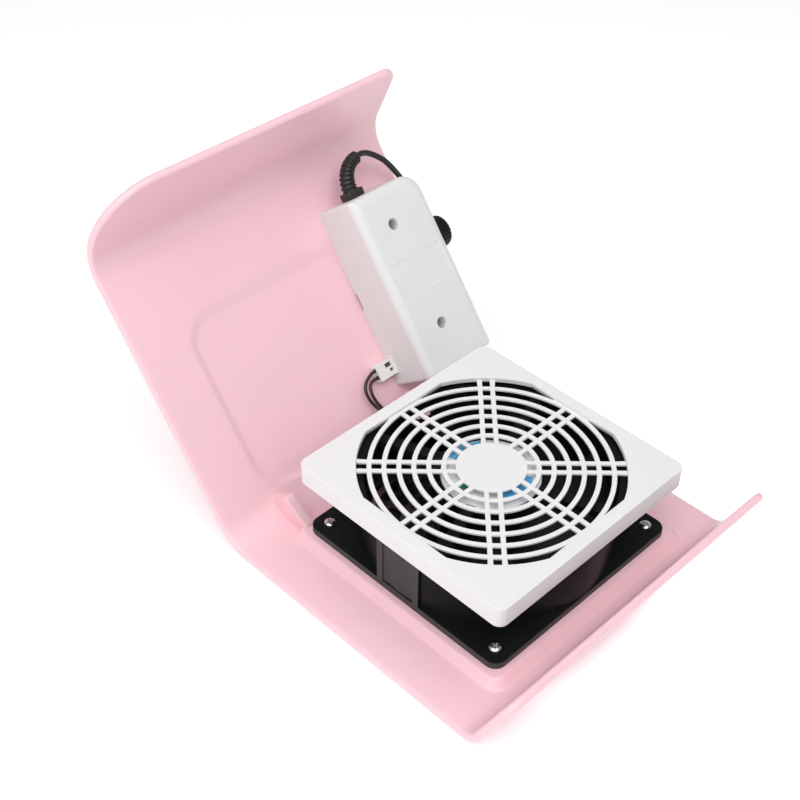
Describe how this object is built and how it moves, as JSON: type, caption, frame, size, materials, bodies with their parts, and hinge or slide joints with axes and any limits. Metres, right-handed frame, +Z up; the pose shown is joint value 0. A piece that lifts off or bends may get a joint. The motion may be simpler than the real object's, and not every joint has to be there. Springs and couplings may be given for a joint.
{
  "type": "nail dust collector",
  "caption": "Desk nail dust collector turned over: bent pink shell with a square axial fan, clip-on round-grille filter guard, control box with speed knob, and a black power cord.",
  "frame": {"origin": "on the resting surface, under the middle of the shell's width and length, cord left out", "axes": "+X across the shell towards the control box and knob, +Y from the front lip towards the bend and the rear panel, +Z up from the fan panel's outer face, through the fan, to the filter guard"},
  "size_m": [0.1831, 0.2619, 0.1617],
  "materials": {
    "pink_shell": "satin gloss pale pink ABS",
    "black_fan": "glossy black",
    "black_blades": "satin black",
    "yoke_steel": "zinc plated",
    "magnet": "matt dark grey",
    "steel": "ground",
    "chrome": "polished",
    "laminations": "stacked steel",
    "copper": "enamelled copper wire",
    "board_green": "solder mask",
    "label": "printed paper",
    "guard_white": "satin white",
    "box_white": "satin light grey white",
    "base_grey": "satin",
    "capacitor": "sleeved",
    "ferrite": "taped",
    "black_part": "moulded",
    "heatsink": "extruded",
    "fuse_glass": "glass and caps",
    "control_body": "moulded",
    "nickel": "nickel plated",
    "knob_black": "satin black, fluted",
    "connector_white": "nylon",
    "contacts": "tinned brass",
    "lead_dark": "insulated wire",
    "lead_red": "insulated wire",
    "black_rubber": "ribbed",
    "cord_black": "insulated cord",
    "plug_black": "moulded",
    "plug_pins": "nickel plated"
  },
  "bodies": {
    "housing": {"shell": "pink_shell", "fan_frame": "black_fan", "lower_bearing": "steel", "upper_bearing": "steel", "stator_core": "laminations", "stator_windings": "copper", "motor_board": "board_green", "fan_label": "label", "fan_screws": "chrome", "box_cover": "box_white", "box_base": "base_grey", "box_screws": "chrome", "control_board": "board_green", "board_screws": "steel", "board_capacitor": "capacitor", "board_inductor": "ferrite", "board_rectifier": "black_part", "board_transistor": "black_part", "board_heatsink": "heatsink", "board_fuse": "fuse_glass", "speed_control": "control_body", "control_nut": "nickel", "fan_socket": "connector_white", "fan_plug": "connector_white", "plug_contacts": "contacts", "fan_wire_upper": "lead_dark", "fan_wire_lower": "lead_red", "strain_relief": "black_rubber", "power_cord": "cord_black", "cord_coil": "cord_black", "cord_tail": "cord_black", "mains_plug": "plug_black", "mains_pins": "plug_pins", "cord_tie": "black_part"},
    "rotor": {"fan_impeller": "black_blades", "rotor_yoke": "yoke_steel", "rotor_magnet": "magnet", "fan_shaft": "steel", "shaft_clip": "steel", "preload_spring": "steel"},
    "knob": {"speed_knob": "knob_black", "control_shaft": "nickel"},
    "guard": {"filter_guard": "guard_white"}
  },
  "joints": [
    {"name": "fan_spin", "type": "hinge", "parent": "housing", "child": "rotor", "pos_m": [0.001, -0.0386, 0.03], "axis": [0, 0, 1], "continuous": true},
    {"name": "knob_turn", "type": "hinge", "parent": "housing", "child": "knob", "pos_m": [0.08, 0.08062, 0.07935], "axis": [1, 0, 0], "range_deg": [-150, 150]},
    {"name": "guard_pull", "type": "slide", "parent": "housing", "child": "guard", "axis": [0, 0, 1], "range_m": [0, 0.04]}
  ]
}
